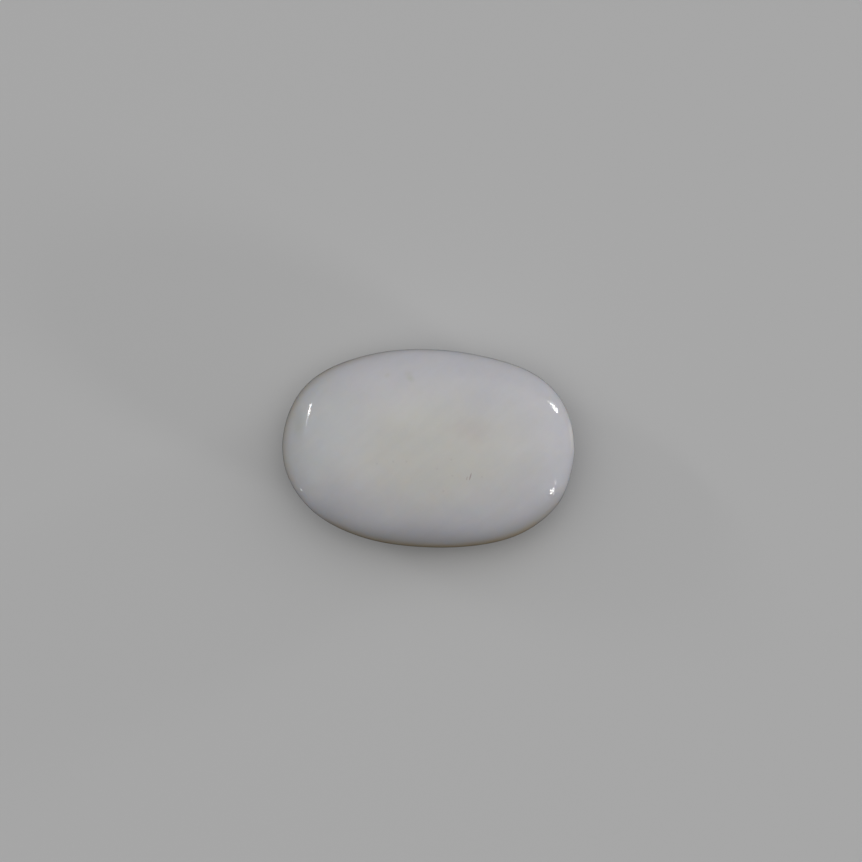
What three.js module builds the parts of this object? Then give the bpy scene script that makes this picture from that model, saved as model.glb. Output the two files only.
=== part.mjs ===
// A white opal, cut by hand as an oval cabochon and polished all over, lying on the flat of its back.
// Millimetres. +X runs along the stone, +Y across it and +Z up through the dome.
// The origin is the middle of the stone's outline, on the surface that it lies on.

import * as THREE from "three";
import { ParametricGeometry } from "three/addons/geometries/ParametricGeometry.js";
import { mergeVertices } from "three/addons/utils/BufferGeometryUtils.js";

// Driving sizes
const LENGTH = 15;
const WIDTH = 10.2;
const THICKNESS = 4.5;
const GIRDLE_HEIGHT = 2; // the widest line round the stone, above its back

// How far the girdle reaches as a share of a plain ellipse's, at sixteen even
// bearings from the +X end round by +Y. The stone was cut by eye, so it has
// one slack side and one squarer end.
const REACH = [
  1.0, 1.027, 1.044, 1.003, 0.999, 1.028, 1.057, 1.024,
  1.0, 1.006, 1.013, 1.0, 0.997, 1.042, 1.066, 1.024,
];

// The dome in section: 2 is an ellipse, and more is a flatter top with a tighter turn at the edge.
// The section along the stone is fuller than the one across it, and the -X end is the fuller end.
const DOME_FULLNESS = 2.65;
const DOME_FULLER_ALONG = 0.4;
const DOME_FULLER_AT_MINUS_X = 0.3;

// The back turns in below the girdle towards a depth that the flat cuts short.
const BACK_FULLNESS = 2.9;
const BACK_DEPTH_UNCUT = 2.4;

// The girdle line wanders up and down as it goes round.
const GIRDLE_WANDER = 0.12;
const GIRDLE_HIGHEST_AT = THREE.MathUtils.degToRad(20);

// A shallow hollow left in the turn of the back, on the -Y side.
const HOLLOW_BEARING = THREE.MathUtils.degToRad(289);
const HOLLOW_HALF_WIDTH = THREE.MathUtils.degToRad(13);
const HOLLOW_DEPTH_SHARE = 0.025;

// The grid of flat faces that stands for the smooth surface
const BEARING_STEPS = 90;
const DOME_ROWS = 24;
const BACK_ROWS = 10;

const OPAL_COLOUR = 0xacaba7;
const OPAL_ROUGHNESS = 0.12;

const QUARTER_TURN = Math.PI / 2;

// One at its own bearing, nought at the other fifteen, and smooth between.
function reachBell(angle) {
  const half = angle / 2;
  if (Math.abs(Math.sin(half)) < 1e-9) return 1;
  return Math.sin(REACH.length * half) / (REACH.length * Math.tan(half));
}

// A point of the girdle before it is fitted to LENGTH and WIDTH: an ellipse times the reach.
function looseGirdlePoint(bearing) {
  const reach = REACH.reduce(
    (sum, share, k) => sum + share * reachBell(bearing - (2 * Math.PI * k) / REACH.length),
    0,
  );
  return new THREE.Vector2(Math.cos(bearing), Math.sin(bearing)).multiplyScalar(reach);
}

// The loose girdle's box, which the fitted one stretches to LENGTH by WIDTH about the origin.
function looseGirdleBox() {
  const box = new THREE.Box2();
  const samples = 3600;
  for (let i = 0; i < samples; i++) box.expandByPoint(looseGirdlePoint((2 * Math.PI * i) / samples));
  return box;
}

const LOOSE_BOX = looseGirdleBox();
const LOOSE_CENTRE = LOOSE_BOX.getCenter(new THREE.Vector2());
const LOOSE_SIZE = LOOSE_BOX.getSize(new THREE.Vector2());

function girdlePoint(bearing) {
  const point = looseGirdlePoint(bearing).sub(LOOSE_CENTRE).divide(LOOSE_SIZE);
  return point.multiply(new THREE.Vector2(LENGTH, WIDTH));
}

function girdleHeight(bearing) {
  return GIRDLE_HEIGHT + GIRDLE_WANDER * Math.cos(bearing - GIRDLE_HIGHEST_AT);
}

// How much the hollow takes off the reach, most where the back turns in fastest.
function hollowShare(bearing, depth) {
  const away = Math.atan2(Math.sin(bearing - HOLLOW_BEARING), Math.cos(bearing - HOLLOW_BEARING));
  return HOLLOW_DEPTH_SHARE * depth * Math.exp(-((away / HOLLOW_HALF_WIDTH) ** 2));
}

function domeFullness(bearing) {
  const along = DOME_FULLER_ALONG * Math.cos(2 * bearing);
  const towardsMinusX = -DOME_FULLER_AT_MINUS_X * Math.cos(bearing);
  return DOME_FULLNESS + along + towardsMinusX;
}

// A point of the surface. Fall runs from nought at the dome's top through a quarter turn at the
// girdle to a half turn at the middle of the back. Its sine is the share of the girdle's reach, and
// the dome's height or the back's depth is the square root of 1 - share ** fullness.
function surfacePoint(bearing, fall, target) {
  let share = Math.sin(fall);
  const onDome = fall <= QUARTER_TURN;
  const fullness = onDome ? domeFullness(bearing) : BACK_FULLNESS;
  const rise = Math.sqrt(Math.max(0, 1 - share ** fullness));
  let height = girdleHeight(bearing);
  if (onDome) {
    height += (THICKNESS - height) * rise;
  } else {
    share *= 1 - hollowShare(bearing, rise);
    height = Math.max(0, height * (1 - (BACK_DEPTH_UNCUT / GIRDLE_HEIGHT) * rise));
  }
  const edge = girdlePoint(bearing).multiplyScalar(share);
  return target.set(edge.x, edge.y, height);
}

// Falls of the rows: evenly down the dome, evenly down the back to its flat, then the flat's middle.
function rowFalls() {
  const flatRise = GIRDLE_HEIGHT / BACK_DEPTH_UNCUT;
  const flatShare = (1 - flatRise ** 2) ** (1 / BACK_FULLNESS);
  const flatBegins = Math.PI - Math.asin(flatShare);
  const rows = [];
  for (let i = 0; i <= DOME_ROWS; i++) rows.push((QUARTER_TURN * i) / DOME_ROWS);
  for (let i = 1; i <= BACK_ROWS; i++) {
    rows.push(QUARTER_TURN + ((flatBegins - QUARTER_TURN) * i) / BACK_ROWS);
  }
  rows.push(Math.PI);
  return rows;
}

// The whole stone as one closed surface: the seam and the poles are merged, and the faces that
// shrank to nothing at the poles are left out.
function stoneGeometry() {
  const rows = rowFalls();
  const grid = new ParametricGeometry(
    (u, v, target) => surfacePoint(2 * Math.PI * u, rows[Math.round(v * (rows.length - 1))], target),
    BEARING_STEPS,
    rows.length - 1,
  );
  grid.deleteAttribute("normal");
  grid.deleteAttribute("uv");
  const merged = mergeVertices(grid, 1e-4);
  const corners = merged.index.array;
  const faces = [];
  for (let i = 0; i < corners.length; i += 3) {
    const [a, b, c] = corners.slice(i, i + 3);
    if (a !== b && b !== c && c !== a) faces.push(a, c, b);
  }
  merged.setIndex(faces);
  merged.computeVertexNormals();
  return merged;
}

const opal = new THREE.Mesh(
  stoneGeometry(),
  new THREE.MeshStandardMaterial({ color: OPAL_COLOUR, roughness: OPAL_ROUGHNESS, metalness: 0 }),
);
opal.name = "opal_cabochon";

const stone = new THREE.Group();
stone.add(opal);

export default stone;
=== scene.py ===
"""A white opal, cut by hand as an oval cabochon and polished all over, lying on the flat of its back.

Blender works in metres. The stone's own sizes are given in millimetres here, and are turned to
metres once, where its mesh is made. +X runs along the stone, +Y across it and +Z up through the dome.
"""

import bpy
import numpy as np
from mathutils import Matrix, Vector


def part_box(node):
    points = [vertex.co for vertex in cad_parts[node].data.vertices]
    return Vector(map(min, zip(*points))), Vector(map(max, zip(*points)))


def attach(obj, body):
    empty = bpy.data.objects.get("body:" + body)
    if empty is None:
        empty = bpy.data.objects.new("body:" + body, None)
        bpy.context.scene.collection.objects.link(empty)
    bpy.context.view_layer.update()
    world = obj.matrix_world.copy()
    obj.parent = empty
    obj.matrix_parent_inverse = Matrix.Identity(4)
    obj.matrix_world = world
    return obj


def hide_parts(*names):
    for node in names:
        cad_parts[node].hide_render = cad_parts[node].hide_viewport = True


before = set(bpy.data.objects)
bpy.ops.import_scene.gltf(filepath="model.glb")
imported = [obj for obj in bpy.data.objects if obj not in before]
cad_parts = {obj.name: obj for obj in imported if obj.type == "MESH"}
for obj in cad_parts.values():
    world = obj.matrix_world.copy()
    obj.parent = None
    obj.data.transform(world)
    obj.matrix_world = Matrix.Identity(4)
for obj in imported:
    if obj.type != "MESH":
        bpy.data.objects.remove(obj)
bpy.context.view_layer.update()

MM = 0.001
QUARTER_TURN = np.pi / 2

# The stone's form: lengths in millimetres, and shares
STONE_LOW, STONE_HIGH = (np.array(corner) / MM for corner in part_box("opal_cabochon"))
LENGTH, WIDTH, THICKNESS = STONE_HIGH - STONE_LOW
GIRDLE_HEIGHT = 2
# The girdle's reach at sixteen even bearings from +X round by +Y, as a share of a plain ellipse's
REACH = [
    1.0, 1.027, 1.044, 1.003, 0.999, 1.028, 1.057, 1.024,
    1.0, 1.006, 1.013, 1.0, 0.997, 1.042, 1.066, 1.024,
]
DOME_FULLNESS = 2.65
DOME_FULLER_ALONG = 0.4
DOME_FULLER_AT_MINUS_X = 0.3
BACK_FULLNESS = 2.9
BACK_DEPTH_UNCUT = 2.4
GIRDLE_WANDER = 0.12
GIRDLE_HIGHEST_AT = np.radians(20)
HOLLOW_BEARING = np.radians(289)
HOLLOW_HALF_WIDTH = np.radians(13)
HOLLOW_DEPTH_SHARE = 0.025

# What the cutter's hand left on it, too small for the solid: lengths in millimetres, and shares
NIB_BEARING = np.radians(-2.2)
NIB_HALF_WIDTH = np.radians(4.4)
NIB_REACH = 0.005
BULGE_BEARING = np.radians(-31.5)
BULGE_HALF_WIDTH = np.radians(10.5)
BULGE_REACH = 0.0065
FLAT_EDGE_ROUNDING = 0.1
WAVE_HEIGHT = 0.004
WAVES_DIE_WITHIN = 0.5  # of the flat of the back
WAVES = [  # each one's length in millimetres and its direction
    (4.6, (0.8, 0.5, 0.3)),
    (3.7, (-0.5, 0.8, 0.4)),
    (2.9, (0.9, -0.4, 0.6)),
    (2.3, (0.2, 0.9, -0.7)),
]

# The grid that the stone's surface is worked out on, and how finely the girdle's box is measured
GIRDLE_SAMPLES = 3600
BEARINGS = 400
DOME_ROWS = 150
BACK_ROWS = 90

# The photo's frame in pixels, and where the stone's outline lies in it
FRAME_PX = 862
OUTLINE_CENTRE_PX = np.array([428.15, 448.45])
OUTLINE_LENGTH_PX = 291.7
MM_PER_PX = LENGTH / OUTLINE_LENGTH_PX


def on_face(pixel):
    """A pixel of the photo as a place on the stone's face: millimetres along X and Y."""
    across, down = (np.array(pixel) - OUTLINE_CENTRE_PX) * MM_PER_PX
    return across, -down


# The stone's surface


def reach_bell(angle):
    """One at its own bearing and nought at the other fifteen: sin(16 a / 2) / (16 tan(a / 2))."""
    half = angle / 2
    at_peak = np.abs(np.sin(half)) < 1e-9
    safe = np.where(at_peak, 1.0, half)
    return np.where(at_peak, 1.0, np.sin(len(REACH) * safe) / (len(REACH) * np.tan(safe)))


def angle_from(bearing, middle):
    """How far a bearing is from another, between minus and plus half a turn."""
    return np.arctan2(np.sin(bearing - middle), np.cos(bearing - middle))


def loose_girdle(bearing):
    """The girdle before it is fitted: the unit circle times the sum of each reach times its bell."""
    step = 2 * np.pi / len(REACH)
    reach = sum(share * reach_bell(bearing - step * k) for k, share in enumerate(REACH))
    return np.stack([np.cos(bearing) * reach, np.sin(bearing) * reach], axis=-1)


def left_standing(bearing):
    """How much further than the plain girdle the wheel left the stone at the +X end, as a share.

    At the tip, a nib falls off as exp(-distance / half width). Beside it, a low bulge falls off as
    exp(-(distance / half width) ** 2).
    """
    nib = NIB_REACH * np.exp(-np.abs(angle_from(bearing, NIB_BEARING)) / NIB_HALF_WIDTH)
    bulge = BULGE_REACH * np.exp(-((angle_from(bearing, BULGE_BEARING) / BULGE_HALF_WIDTH) ** 2))
    return nib + bulge


def girdle(bearing):
    """The loose girdle, moved and stretched to a box of LENGTH by WIDTH, times what was left on it."""
    around = loose_girdle(np.linspace(0, 2 * np.pi, GIRDLE_SAMPLES, endpoint=False))
    low, high = around.min(axis=0), around.max(axis=0)
    fitted = (loose_girdle(bearing) - (low + high) / 2) / (high - low) * [LENGTH, WIDTH]
    return fitted * (1 + left_standing(bearing))[..., None]


def eased_above_nought(height):
    """The height above nought, and nought below it, joined by a parabola FLAT_EDGE_ROUNDING long."""
    near = np.maximum(FLAT_EDGE_ROUNDING - np.abs(height), 0)
    return np.maximum(height, 0) + near**2 / (4 * FLAT_EDGE_ROUNDING)


def stone_surface(bearing, fall):
    """A point of the stone, in millimetres, for a bearing and a fall.

    Fall runs from nought at the dome's top through a quarter turn at the girdle to a half turn at
    the middle of the back. Its sine is the share of the girdle's reach. The height above or below
    the girdle is sqrt(1 - share ** fullness) times the dome's height or the back's depth, and the
    back is cut flat at nought.
    """
    on_dome = fall <= QUARTER_TURN
    share = np.sin(fall)
    along = DOME_FULLER_ALONG * np.cos(2 * bearing)
    dome_fullness = DOME_FULLNESS + along - DOME_FULLER_AT_MINUS_X * np.cos(bearing)
    fullness = np.where(on_dome, dome_fullness, BACK_FULLNESS)
    rise = np.sqrt(np.maximum(0, 1 - share**fullness))
    middle = GIRDLE_HEIGHT + GIRDLE_WANDER * np.cos(bearing - GIRDLE_HIGHEST_AT)
    dome = middle + (THICKNESS - middle) * rise
    back = eased_above_nought(middle * (1 - BACK_DEPTH_UNCUT / GIRDLE_HEIGHT * rise))
    bell = np.exp(-((angle_from(bearing, HOLLOW_BEARING) / HOLLOW_HALF_WIDTH) ** 2))
    hollow = np.where(on_dome, 0, HOLLOW_DEPTH_SHARE * rise * bell)
    edge = girdle(bearing) * (share * (1 - hollow))[..., None]
    return np.concatenate([edge, np.where(on_dome, dome, back)[..., None]], axis=-1)


def outward(bearing, fall):
    """The surface's unit normal: the cross product of its slopes along the fall and the bearing."""
    small = 1e-4
    around = stone_surface(bearing + small, fall) - stone_surface(bearing - small, fall)
    down = stone_surface(bearing, fall + small) - stone_surface(bearing, fall - small)
    normal = np.cross(down, around)
    return normal / np.linalg.norm(normal, axis=-1, keepdims=True)


def hand_waves(points):
    """How far hand polishing left the surface out or in: a sum of sines along four directions.

    The waves die away on the flat of the back, so that the stone lies on it.
    """
    height = np.zeros(points.shape[:-1])
    for length, direction in WAVES:
        way = np.array(direction) / np.linalg.norm(direction)
        height += np.sin(2 * np.pi * points @ way / length)
    return WAVE_HEIGHT * height * np.clip(points[..., 2] / WAVES_DIE_WITHIN, 0, 1)


def grid_faces(rows):
    """Four-sided faces between the rows, round the closed seam, and a fan at each pole."""
    index = np.arange(rows * BEARINGS).reshape(rows, BEARINGS)
    beside = np.roll(index, -1, axis=1)
    quads = np.stack([index[:-1], index[1:], beside[1:], beside[:-1]], axis=-1).reshape(-1, 4)
    top = np.stack([np.full(BEARINGS, index.size), index[0], beside[0]], axis=-1)
    bottom = np.stack([np.full(BEARINGS, index.size + 1), beside[-1], index[-1]], axis=-1)
    return quads.tolist() + top.tolist() + bottom.tolist()


def make_stone():
    """The stone as one closed mesh, with each point's fall, in quarter turns, kept as an attribute."""
    bearing = np.linspace(0, 2 * np.pi, BEARINGS, endpoint=False)
    dome = np.linspace(0, QUARTER_TURN, DOME_ROWS + 1)[1:]
    back = np.linspace(QUARTER_TURN, 2 * QUARTER_TURN, BACK_ROWS + 1)[1:-1]
    falls = np.concatenate([dome, back])
    around, down = np.meshgrid(bearing, falls)
    rings = stone_surface(around, down)
    rings += outward(around, down) * hand_waves(rings)[..., None]
    poles = [[0, 0, THICKNESS], [0, 0, 0]]
    points = np.concatenate([rings.reshape(-1, 3), poles]) * MM
    mesh = bpy.data.meshes.new("white_opal")
    mesh.from_pydata(points.tolist(), [], grid_faces(len(falls)))
    mesh.polygons.foreach_set("use_smooth", np.ones(len(mesh.polygons), dtype=bool))
    kept = mesh.attributes.new("fall", "FLOAT", "POINT")
    kept.data.foreach_set("value", np.append(down.ravel(), [0, 2 * QUARTER_TURN]) / QUARTER_TURN)
    mesh.update()
    stone = bpy.data.objects.new("white_opal", mesh)
    bpy.context.scene.collection.objects.link(stone)
    return stone


# Small words for building materials: each adds a node and gives back its output


def add_node(tree, kind, inputs=(), **settings):
    """A node with its settings. Each input is a link from another node's output or a plain value."""
    node = tree.nodes.new(kind)
    for name, value in settings.items():
        setattr(node, name, value)
    for name, value in dict(inputs).items():
        if isinstance(value, bpy.types.NodeSocket):
            tree.links.new(value, node.inputs[name])
        else:
            node.inputs[name].default_value = value
    return node


def reckon(tree, operation, first, second=0.0):
    """A Math node's answer."""
    return add_node(tree, "ShaderNodeMath", {0: first, 1: second}, operation=operation).outputs[0]


def eased(tree, value, start, end, low=0.0, high=1.0):
    """Low before start and high past end, with a smooth step between. Start may be above end."""
    if start > end:
        start, end, low, high = end, start, high, low
    inputs = {"Value": value, "From Min": start, "From Max": end, "To Min": low, "To Max": high}
    node = add_node(tree, "ShaderNodeMapRange", inputs, interpolation_type="SMOOTHSTEP")
    return node.outputs["Result"]


def mixed(tree, share, under, over, blend_type="MIX"):
    """One colour over another by a share, each of them a link or three plain numbers."""
    node = add_node(tree, "ShaderNodeMix", {0: share}, data_type="RGBA", blend_type=blend_type)
    for socket, colour in ((node.inputs[6], under), (node.inputs[7], over)):
        if isinstance(colour, bpy.types.NodeSocket):
            tree.links.new(colour, socket)
        else:
            socket.default_value = (*colour, 1)
    return node.outputs[2]


def placed(tree, place, centre, size, turn=0.0):
    """The place as seen from a centre, turned in the plane of the face, and counted in steps of size."""
    inputs = {"Vector": place, "Location": centre, "Rotation": (0, 0, np.radians(turn)), "Scale": size}
    return add_node(tree, "ShaderNodeMapping", inputs, vector_type="TEXTURE").outputs["Vector"]


def spot(tree, place, centre, half_size, turn=0.0, core=0.0):
    """One inside an oval of the face and nought outside it, eased out from core's share of its reach."""
    right_through = 1000
    inside = placed(tree, place, (*centre, 0), (*half_size, right_through), turn)
    length = add_node(tree, "ShaderNodeVectorMath", {0: inside}, operation="LENGTH")
    return eased(tree, length.outputs["Value"], 1.0, core)


def noise(tree, place, scale, detail=3.0, roughness=0.55):
    """Cloudy noise between nought and one, with scale lumps to a step of the place."""
    inputs = {"Vector": place, "Scale": scale, "Detail": detail, "Roughness": roughness}
    return add_node(tree, "ShaderNodeTexNoise", inputs).outputs["Fac"]


# The opal's colours, as shares of light thrown back

CREAM = (0.688, 0.680, 0.650)
PALE_BLUE = (0.674, 0.672, 0.712)
SEA_GREY = (0.660, 0.672, 0.682)
ROSE_GREY = (0.655, 0.620, 0.600)
# Honey: a warm brown for the edge's last rim, partly the thin edge's own tint and partly painted shade
HONEY_AND_SHADE = (0.61, 0.51, 0.365)
# Painted shade: a grey that darkens the edges where they turn from the light
PAINTED_SHADE_GREY = (0.54, 0.53, 0.53)
# Painted highlight: a near white for the girdle ridge at the +X end, where it catches the light
PAINTED_HIGHLIGHT_WHITE = (0.84, 0.84, 0.84)
SMUDGE = (0.50, 0.52, 0.40)
# Olive grey: the -X end's tint, partly painted shade
OLIVE_GREY = (0.50, 0.51, 0.45)
SPECK_GREY = (0.50, 0.49, 0.48)
RUST = (0.36, 0.24, 0.245)

# Where the body colour changes: centre and half size in millimetres, turn, and the share of its
# reach within which the zone is whole
CREAM_ZONE = ((1.0, 0.8), (8.2, 4.9), 0, 0.2)
GREY_ZONE = ((-5.1, 1.8), (3.6, 4.4), 0, 0.3)
ROSE_ZONE = ((3.0, 1.95), (1.5, 1.0), 10, 0.0)
GREY_STRENGTH = 0.85
ROSE_STRENGTH = 0.5
DRIFT = (1.8, 1.8, 0)  # how far the zones' edges wander along X, Y and Z

# The clouds: the noise between its two limits becomes a shade between two others
BROAD_SHADES = (0.3, 0.7, 0.988, 1.01)
STREAK_SHADES = (0.35, 0.68, 0.99, 1.008)
MOTTLE_SHADES = (0.3, 0.7, 0.995, 1.004)

# Marks on the face, by the photo's pixels
ZONES_AND_PAINTED_SHADE = [  # centre, half size in millimetres, turn, and how much lighter it is there; the last is painted shade
    ((485, 416), (4.6, 1.9), -4, -0.05),
    ((440, 506), (5.6, 1.5), 2, 0.03),
    ((313, 487), (1.4, 1.8), 35, 0.07),
    # Painted shade: darker along the -Y edge, which turns from the light
    ((425, 543), (4.4, 1.6), 0, -0.11),
]
SMUDGES = [  # centre, half size in millimetres, turn and strength
    ((410.5, 379), (0.36, 0.26), -38, 0.27),
    ((388, 376), (0.24, 0.18), 20, 0.16),
    ((409, 374), (0.40, 0.16), 10, 0.14),
]
SPECKS = [(443, 490), (451, 459), (378, 463), (394, 461), (407, 461), (437, 468), (452, 475), (481, 476)]
SPECK_HALF_SIZE = 0.09
SPECK_STRENGTH = 0.3
HAIRLINES = [  # centre, half length, turn and strength
    ((469.6, 475.7), 0.24, 74, 0.66),
    ((466.2, 477.4), 0.13, 78, 0.36),
]
HAIRLINE_HALF_WIDTH = 0.036
# Centre, half size in millimetres, turn and strength
# An olive-grey tint at the -X end, partly painted shade where that end's edge rolls away from the light
END_TINT_AND_SHADE = ((300, 424), (0.45, 1.2), 0, 0.3)
# Painted highlight: a lighter band along the girdle ridge at the +X end
PAINTED_HIGHLIGHT_BAND = ((570.4, 431), (0.18, 1.4), 6, 0.7)

# The edge's tones: painted shade on the edges turned from the light, and a warm honey tint that is
# partly painted shade. A side is a bearing in degrees and the two distances from the middle, in
# millimetres, where its tone begins and is whole. A tone comes in between two falls, counted in
# quarter turns, from nought up to its strength.
PAINTED_SHADE_SIDE = (280, 3.2, 5.2)
LEFT_SIDE = (150, 3.6, 6.0)
HONEY_AND_SHADE_SIDE = (270, 3.4, 5.4)
PAINTED_SHADE_FALLS = (0.60, 0.86, 0, 0.85)
LEFT_PAINTED_SHADE_FALLS = (0.68, 0.95, 0, 0.25)
HONEY_AND_SHADE_FALLS = (0.76, 0.91, 0, 0.95)
LEFT_HONEY_AND_SHADE_SHARE = 0.3
SIDES_UNEVEN_BY = 1.4
TONES_FADE_UNDERNEATH = (1.45, 1.15)  # gone past the first fall and whole before the second

# The body: how strongly it bends light, and how deep light goes in before it comes out
OPAL_IOR = 1.45
SCATTER_DEPTH = 0.7  # millimetres
SCATTER_BY_COLOUR = (1.0, 0.8, 0.6)

# The polish: roughness on the face and on the flat of the back, and relief in millimetres
POLISHED = 0.08
SATIN = 0.34
FLAT_FALLS = (1.5, 1.56)  # the flat of the back begins between them
POLISH_LINES = 0.0006
LAP_LINES = 0.004
GRAIN_SIZE = 0.21
# A streak's size along, across and up in millimetres, and its turn
POLISH_STREAK = ((1.4, 0.2, 1.0), 24)
LAP_STREAK = ((6.0, 0.08, 1.0), -17)
MILK_STREAK = ((2.2, 0.5, 1.0), 38)
GRAINY = [  # centre, and reach and depth in millimetres
    ((551.5, 490.3), 0.42, 0.022),
    ((547.8, 401.8), 0.21, 0.010),
]
PITS = [  # centre, and half size and depth in millimetres
    ((327.0, 513.5), 0.07, 0.014),
    ((350.6, 528.8), 0.07, 0.014),
    ((338.0, 520.5), 0.06, 0.010),
]


def milk_colour(tree, place):
    """The body colour: cream in the middle with a touch of rose, sea grey towards the -X end, and
    pale blue towards the edges.
    """
    drift = add_node(tree, "ShaderNodeTexNoise", {"Vector": place, "Scale": 0.35, "Detail": 2.0})
    inputs = {0: drift.outputs["Color"], 1: DRIFT, 2: place}
    wandering = add_node(tree, "ShaderNodeVectorMath", inputs, operation="MULTIPLY_ADD").outputs[0]
    milk = mixed(tree, spot(tree, wandering, *CREAM_ZONE), PALE_BLUE, CREAM)
    grey = reckon(tree, "MULTIPLY", spot(tree, wandering, *GREY_ZONE), GREY_STRENGTH)
    milk = mixed(tree, grey, milk, SEA_GREY)
    rose = reckon(tree, "MULTIPLY", spot(tree, wandering, *ROSE_ZONE), ROSE_STRENGTH)
    return mixed(tree, rose, milk, ROSE_GREY)


def clouded(tree, place, colour):
    """Clouds in the milk: a few wide lighter and darker zones, one of them painted shade along the -Y edge,
    long streaks that lean to the right, and a fine mottle.
    """
    zones_and_shade = 1.0
    for pixel, half_size, turn, lighter_by in ZONES_AND_PAINTED_SHADE:
        zone = spot(tree, place, on_face(pixel), half_size, turn, core=0.2)
        zones_and_shade = reckon(tree, "ADD", zones_and_shade, reckon(tree, "MULTIPLY", zone, lighter_by))
    broad = eased(tree, noise(tree, place, 0.55, 2.0), *BROAD_SHADES)
    leaning = placed(tree, place, (0, 0, 0), *MILK_STREAK)
    streaks = eased(tree, noise(tree, leaning, 1.1, 3.0), *STREAK_SHADES)
    mottle = eased(tree, noise(tree, place, 3.2, 4.0, 0.7), *MOTTLE_SHADES)
    shade = reckon(tree, "MULTIPLY", reckon(tree, "MULTIPLY", broad, streaks), mottle)
    shade = reckon(tree, "MULTIPLY", shade, zones_and_shade)
    grey = add_node(tree, "ShaderNodeCombineColor", {0: shade, 1: shade, 2: shade})
    return mixed(tree, 1.0, colour, grey.outputs[0], "MULTIPLY")


def face_only(tree, share, fall):
    """A mark's share on the face, and nought past the girdle."""
    return reckon(tree, "MULTIPLY", share, eased(tree, fall, 1.0, 0.9))


def mark(tree, place, pixel, half_size, turn, strength, core=0.0):
    """A mark's share: its strength in the middle, and nought outside its oval."""
    return reckon(tree, "MULTIPLY", spot(tree, place, on_face(pixel), half_size, turn, core), strength)


def marked(tree, place, fall, colour):
    """The face's marks and painted light: smudges, specks, an olive-grey patch with painted shade at the
    -X end, a painted highlight along the girdle ridge at the +X end and two rusty hairlines.
    """
    for smudge in SMUDGES:
        share = face_only(tree, mark(tree, place, *smudge), fall)
        colour = mixed(tree, share, colour, SMUDGE)
    for pixel in SPECKS:
        speck = mark(tree, place, pixel, (SPECK_HALF_SIZE, SPECK_HALF_SIZE), 0, SPECK_STRENGTH)
        colour = mixed(tree, face_only(tree, speck, fall), colour, SPECK_GREY)
    # Olive-grey tint and painted shade on the -X end's rolled edge
    tint_and_shade = face_only(tree, mark(tree, place, *END_TINT_AND_SHADE), fall)
    colour = mixed(tree, tint_and_shade, colour, OLIVE_GREY)
    # Painted highlight along the girdle ridge at the +X end
    colour = mixed(tree, mark(tree, place, *PAINTED_HIGHLIGHT_BAND), colour, PAINTED_HIGHLIGHT_WHITE)
    for pixel, half_length, turn, strength in HAIRLINES:
        line = mark(tree, place, pixel, (half_length, HAIRLINE_HALF_WIDTH), turn, strength, core=0.5)
        colour = mixed(tree, face_only(tree, line, fall), colour, RUST)
    return colour


def on_side(tree, place, bearing, begins, whole, further=0.0):
    """How much a place belongs to the side that a bearing points to: nought nearer the middle than
    begins and one past whole, in millimetres along the bearing.
    """
    way = (np.cos(np.radians(bearing)), np.sin(np.radians(bearing)), 0)
    along = add_node(tree, "ShaderNodeVectorMath", {0: place, 1: way}, operation="DOT_PRODUCT")
    return eased(tree, reckon(tree, "ADD", along.outputs["Value"], further), begins, whole)


def edge_tint_and_painted_shade(tree, place, fall, colour):
    """The edge's tones: painted shade round the -Y side and the -X end's upper half, where the edge
    turns from the light, then honey, a warm tint that is partly painted shade, in the last of it.
    They end underneath.
    """
    above = eased(tree, fall, *TONES_FADE_UNDERNEATH)
    uneven = reckon(tree, "MULTIPLY", noise(tree, place, 0.7, 4.0), SIDES_UNEVEN_BY)
    left = on_side(tree, place, *LEFT_SIDE)
    low = on_side(tree, place, *PAINTED_SHADE_SIDE, uneven)
    # Painted shade: darker round the -Y side and the -X end's upper half, which turn from the light
    painted_shade = reckon(tree, "MULTIPLY", low, eased(tree, fall, *PAINTED_SHADE_FALLS))
    painted_shade_left = reckon(tree, "MULTIPLY", left, eased(tree, fall, *LEFT_PAINTED_SHADE_FALLS))
    painted_shade = reckon(tree, "MULTIPLY", reckon(tree, "MAXIMUM", painted_shade, painted_shade_left), above)
    colour = mixed(tree, painted_shade, colour, PAINTED_SHADE_GREY)
    # Honey: a warm tint in the last of the edge, partly painted shade on the side turned from the light
    lowest = on_side(tree, place, *HONEY_AND_SHADE_SIDE, uneven)
    honey_and_shade = reckon(tree, "MAXIMUM", lowest, reckon(tree, "MULTIPLY", left, LEFT_HONEY_AND_SHADE_SHARE))
    honey_and_shade = reckon(tree, "MULTIPLY", honey_and_shade, eased(tree, fall, *HONEY_AND_SHADE_FALLS))
    return mixed(tree, reckon(tree, "MULTIPLY", honey_and_shade, above), colour, HONEY_AND_SHADE)


def pit(tree, place, pixel, half_size, depth):
    """A round pit's height, in millimetres: nought outside it and minus its depth in the middle."""
    return mark(tree, place, pixel, (half_size, half_size), 0, -depth)


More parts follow.
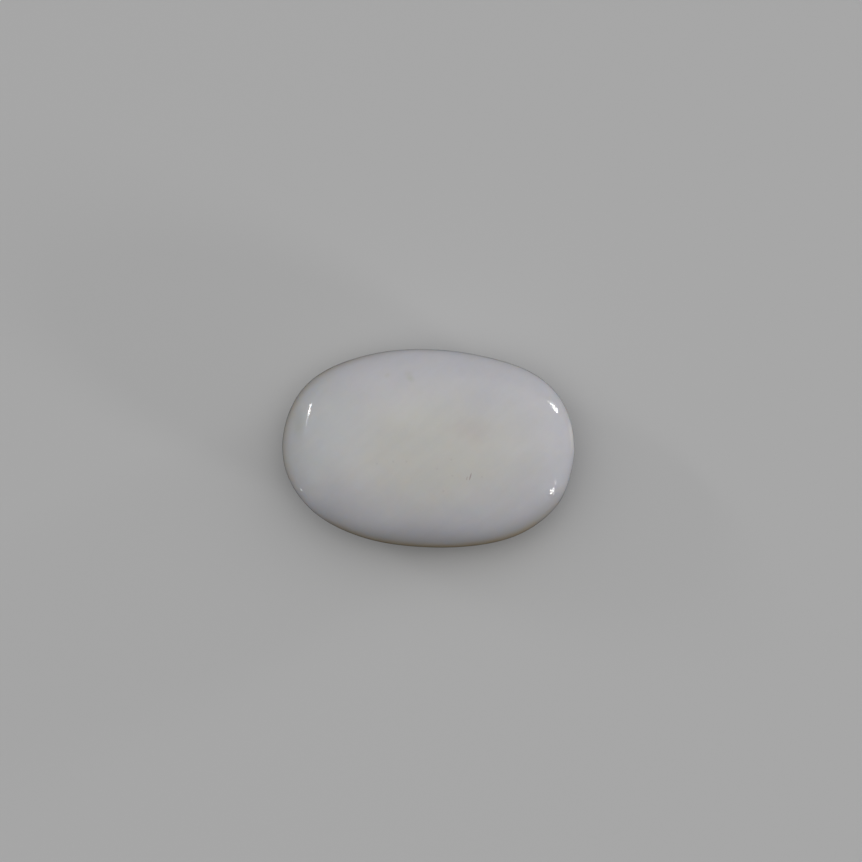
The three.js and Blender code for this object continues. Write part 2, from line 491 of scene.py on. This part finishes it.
def surface_relief(tree, place, fall):
    """Heights too fine for the mesh, in millimetres: polish lines, grainy patches, pits, and the
    lapped back's lines.
    """
    lines = placed(tree, place, (0, 0, 0), *POLISH_STREAK)
    height = reckon(tree, "MULTIPLY", noise(tree, lines, 1.6), POLISH_LINES)
    grain = noise(tree, place, 1 / GRAIN_SIZE, 1.0)
    for pixel, reach, depth in GRAINY:
        share = spot(tree, place, on_face(pixel), (reach, reach), core=0.4)
        rough = reckon(tree, "MULTIPLY", reckon(tree, "MULTIPLY", grain, share), depth)
        height = reckon(tree, "ADD", height, face_only(tree, rough, fall))
    for pixel, half_size, depth in PITS:
        dip = face_only(tree, pit(tree, place, pixel, half_size, depth), fall)
        height = reckon(tree, "ADD", height, dip)
    laps = placed(tree, place, (0, 0, 0), *LAP_STREAK)
    on_flat = eased(tree, fall, *FLAT_FALLS, 0, LAP_LINES)
    return reckon(tree, "ADD", height, reckon(tree, "MULTIPLY", noise(tree, laps, 1.0, 4.0), on_flat))


def opal_material():
    """White opal: light goes in and comes out milky, under a polish with fine marks in it."""
    material = bpy.data.materials.new("white_opal")
    material.use_nodes = True
    tree = material.node_tree
    shader = tree.nodes["Principled BSDF"]
    shader.inputs["IOR"].default_value = OPAL_IOR
    shader.inputs["Subsurface Weight"].default_value = 1.0
    shader.inputs["Subsurface Radius"].default_value = SCATTER_BY_COLOUR
    shader.inputs["Subsurface Scale"].default_value = SCATTER_DEPTH * MM

    metres = add_node(tree, "ShaderNodeTexCoord").outputs["Object"]
    inputs = {0: metres, "Scale": 1 / MM}
    place = add_node(tree, "ShaderNodeVectorMath", inputs, operation="SCALE").outputs[0]
    fall = add_node(tree, "ShaderNodeAttribute", attribute_name="fall").outputs["Fac"]
    colour = clouded(tree, place, milk_colour(tree, place))
    colour = marked(tree, place, fall, colour)
    colour = edge_tint_and_painted_shade(tree, place, fall, colour)
    tree.links.new(colour, shader.inputs["Base Color"])
    finish = eased(tree, fall, *FLAT_FALLS, POLISHED, SATIN)
    tree.links.new(finish, shader.inputs["Roughness"])
    relief = add_node(tree, "ShaderNodeBump", {"Height": surface_relief(tree, place, fall), "Distance": MM})
    tree.links.new(relief.outputs["Normal"], shader.inputs["Normal"])
    return material


stone = make_stone()
stone.data.materials.append(opal_material())
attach(stone, "root")
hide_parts("opal_cabochon")


# The floor

PAPER = (0.62, 0.62, 0.62)
PAPER_ROUGHNESS = 0.9
PAPER_SHINE = 0.2
FLOOR_HALF_WIDTH = 1.5  # metres


def make_floor():
    """One wide square of pale paper under the stone."""
    half = FLOOR_HALF_WIDTH
    mesh = bpy.data.meshes.new("floor")
    corners = [(-half, -half, 0), (half, -half, 0), (half, half, 0), (-half, half, 0)]
    mesh.from_pydata(corners, [], [(0, 1, 2, 3)])
    floor = bpy.data.objects.new("floor", mesh)
    bpy.context.scene.collection.objects.link(floor)
    paper = bpy.data.materials.new("pale_paper")
    paper.use_nodes = True
    shader = paper.node_tree.nodes["Principled BSDF"]
    shader.inputs["Base Color"].default_value = (*PAPER, 1)
    shader.inputs["Roughness"].default_value = PAPER_ROUGHNESS
    shader.inputs["Specular IOR Level"].default_value = PAPER_SHINE
    mesh.materials.append(paper)
    # Only the camera sees the floor: it throws no light up at the stone's edges and isn't mirrored
    # in them, and the low glows and lamps shine through it.
    floor.visible_diffuse = False
    floor.visible_glossy = False
    floor.visible_shadow = False


make_floor()


# The camera looks straight down, with the stone as large and as far off centre as in the photo

LENS = 100  # millimetres, as is the sensor
SENSOR = 36
AIM_X, AIM_Y = on_face((FRAME_PX / 2, FRAME_PX / 2))
CAMERA_HEIGHT = GIRDLE_HEIGHT + FRAME_PX * MM_PER_PX * LENS / SENSOR
CAMERA_PLACE = np.array([AIM_X, AIM_Y, CAMERA_HEIGHT])

lens = bpy.data.cameras.new("camera")
lens.lens = LENS
lens.sensor_width = SENSOR
lens.clip_start = 0.01
camera = bpy.data.objects.new("camera", lens)
camera.location = CAMERA_PLACE * MM
bpy.context.scene.collection.objects.link(camera)
bpy.context.scene.camera = camera


# The light: wide feathered glows above and to the sides, three faint ones from below the floor's
# level, and small soft lamps low down at the ends

GLOW_SPREAD = 45  # degrees from its middle to its edge
GLOWS = [  # bearing and height in degrees, and strength
    (0, 90, 0.61),
    (45, 50, 0.79),
    (135, 50, 0.43),
    (180, 50, 0.485),
    (0, 15, 0.25),
    (35, -35, 0.10),
    (80, -35, 0.13),
    (212, -35, 0.19),
]
AMBIENT = 0.01
LAMP_DISTANCE = 0.5  # metres
LAMP_RADIANCE = 18

# Each lamp stands where the stone mirrors it to these two pixels of the photo. Then come its width
# in degrees and its share of the radiance.
LAMPS = {
    "lamp_left": ((311.7, 402.2), (308.8, 415.2), 3.4, 1.2),
    "lamp_left_tail": ((309.3, 412), (305.3, 429), 2.4, 0.28),
    "lamp_right": ((552.6, 404.4), (557.6, 412.2), 11, 1.2),
    "lamp_right_start": ((546.5, 400.6), (552.5, 405.0), 11, 0.16),
    "lamp_right_low": ((554.8, 483.8), (548.2, 497.4), 8, 1.3),
    "lamp_left_low": ((300.4, 488.2), (301.4, 490.4), 2.2, 0.4),
}


def make_world():
    """The glows on the world: each has its strength in the middle and eases to nought at its edge."""
    world = bpy.data.worlds.new("studio")
    world.use_nodes = True
    tree = world.node_tree
    way = add_node(tree, "ShaderNodeTexCoord").outputs["Generated"]
    total = AMBIENT
    for bearing, height, strength in GLOWS:
        flat, up = np.cos(np.radians(height)), np.sin(np.radians(height))
        middle = (flat * np.cos(np.radians(bearing)), flat * np.sin(np.radians(bearing)), up)
        facing = add_node(tree, "ShaderNodeVectorMath", {0: way, 1: middle}, operation="DOT_PRODUCT")
        edge = np.cos(np.radians(GLOW_SPREAD))
        glow = eased(tree, facing.outputs["Value"], edge, 1.0, 0.0, strength)
        total = reckon(tree, "ADD", glow, total)
    background = tree.nodes["Background"]
    background.inputs["Color"].default_value = (1, 1, 1, 1)
    tree.links.new(total, background.inputs["Strength"])
    bpy.context.scene.world = world


def mirrored(pixel):
    """The unit direction in which the dome, at this pixel, mirrors the camera's ray.

    The place on the dome is found on a coarse grid, and then on a fine one round the nearest point.
    """
    ray = np.array([*on_face(pixel), GIRDLE_HEIGHT]) - CAMERA_PLACE
    ray /= np.linalg.norm(ray)
    least_fall, steps, finer = 0.01, 401, 100
    middle, reach = (np.pi, QUARTER_TURN / 2), (np.pi, QUARTER_TURN / 2 - least_fall)
    for _ in range(2):
        sides = [np.linspace(m - r, m + r, steps) for m, r in zip(middle, reach)]
        bearing, fall = np.meshgrid(sides[0], np.clip(sides[1], least_fall, QUARTER_TURN))
        seen = stone_surface(bearing, fall) - CAMERA_PLACE
        beside = seen - (seen @ ray)[..., None] * ray
        nearest = np.unravel_index(np.argmin((beside**2).sum(axis=-1)), bearing.shape)
        middle = bearing[nearest], fall[nearest]
        reach = tuple(r / finer for r in reach)
    normal = outward(*middle)
    return ray - 2 * (ray @ normal) * normal


def make_lamp(name, first_px, second_px, width, share):
    """An oval lamp that faces the stone, as long as the arc between the two mirrored directions."""
    first, second = Vector(mirrored(first_px)), Vector(mirrored(second_px))
    middle = (first + second).normalized()
    light = bpy.data.lights.new(name, "AREA")
    light.shape = "ELLIPSE"
    light.size = (second - first).length * LAMP_DISTANCE
    light.size_y = np.radians(width) * LAMP_DISTANCE
    light.energy = share * LAMP_RADIANCE * np.pi * (np.pi / 4 * light.size * light.size_y)
    along = (second - first).normalized()
    across = middle.cross(along).normalized()
    along = across.cross(middle)
    turn = Matrix((along, across, middle)).transposed()
    lamp = bpy.data.objects.new(name, light)
    lamp.matrix_world = Matrix.Translation(middle * LAMP_DISTANCE) @ turn.to_4x4()
    lamp.visible_camera = False
    bpy.context.scene.collection.objects.link(lamp)


make_world()
for lamp_name, lamp_facts in LAMPS.items():
    make_lamp(lamp_name, *lamp_facts)

bpy.context.scene.view_settings.view_transform = "Standard"
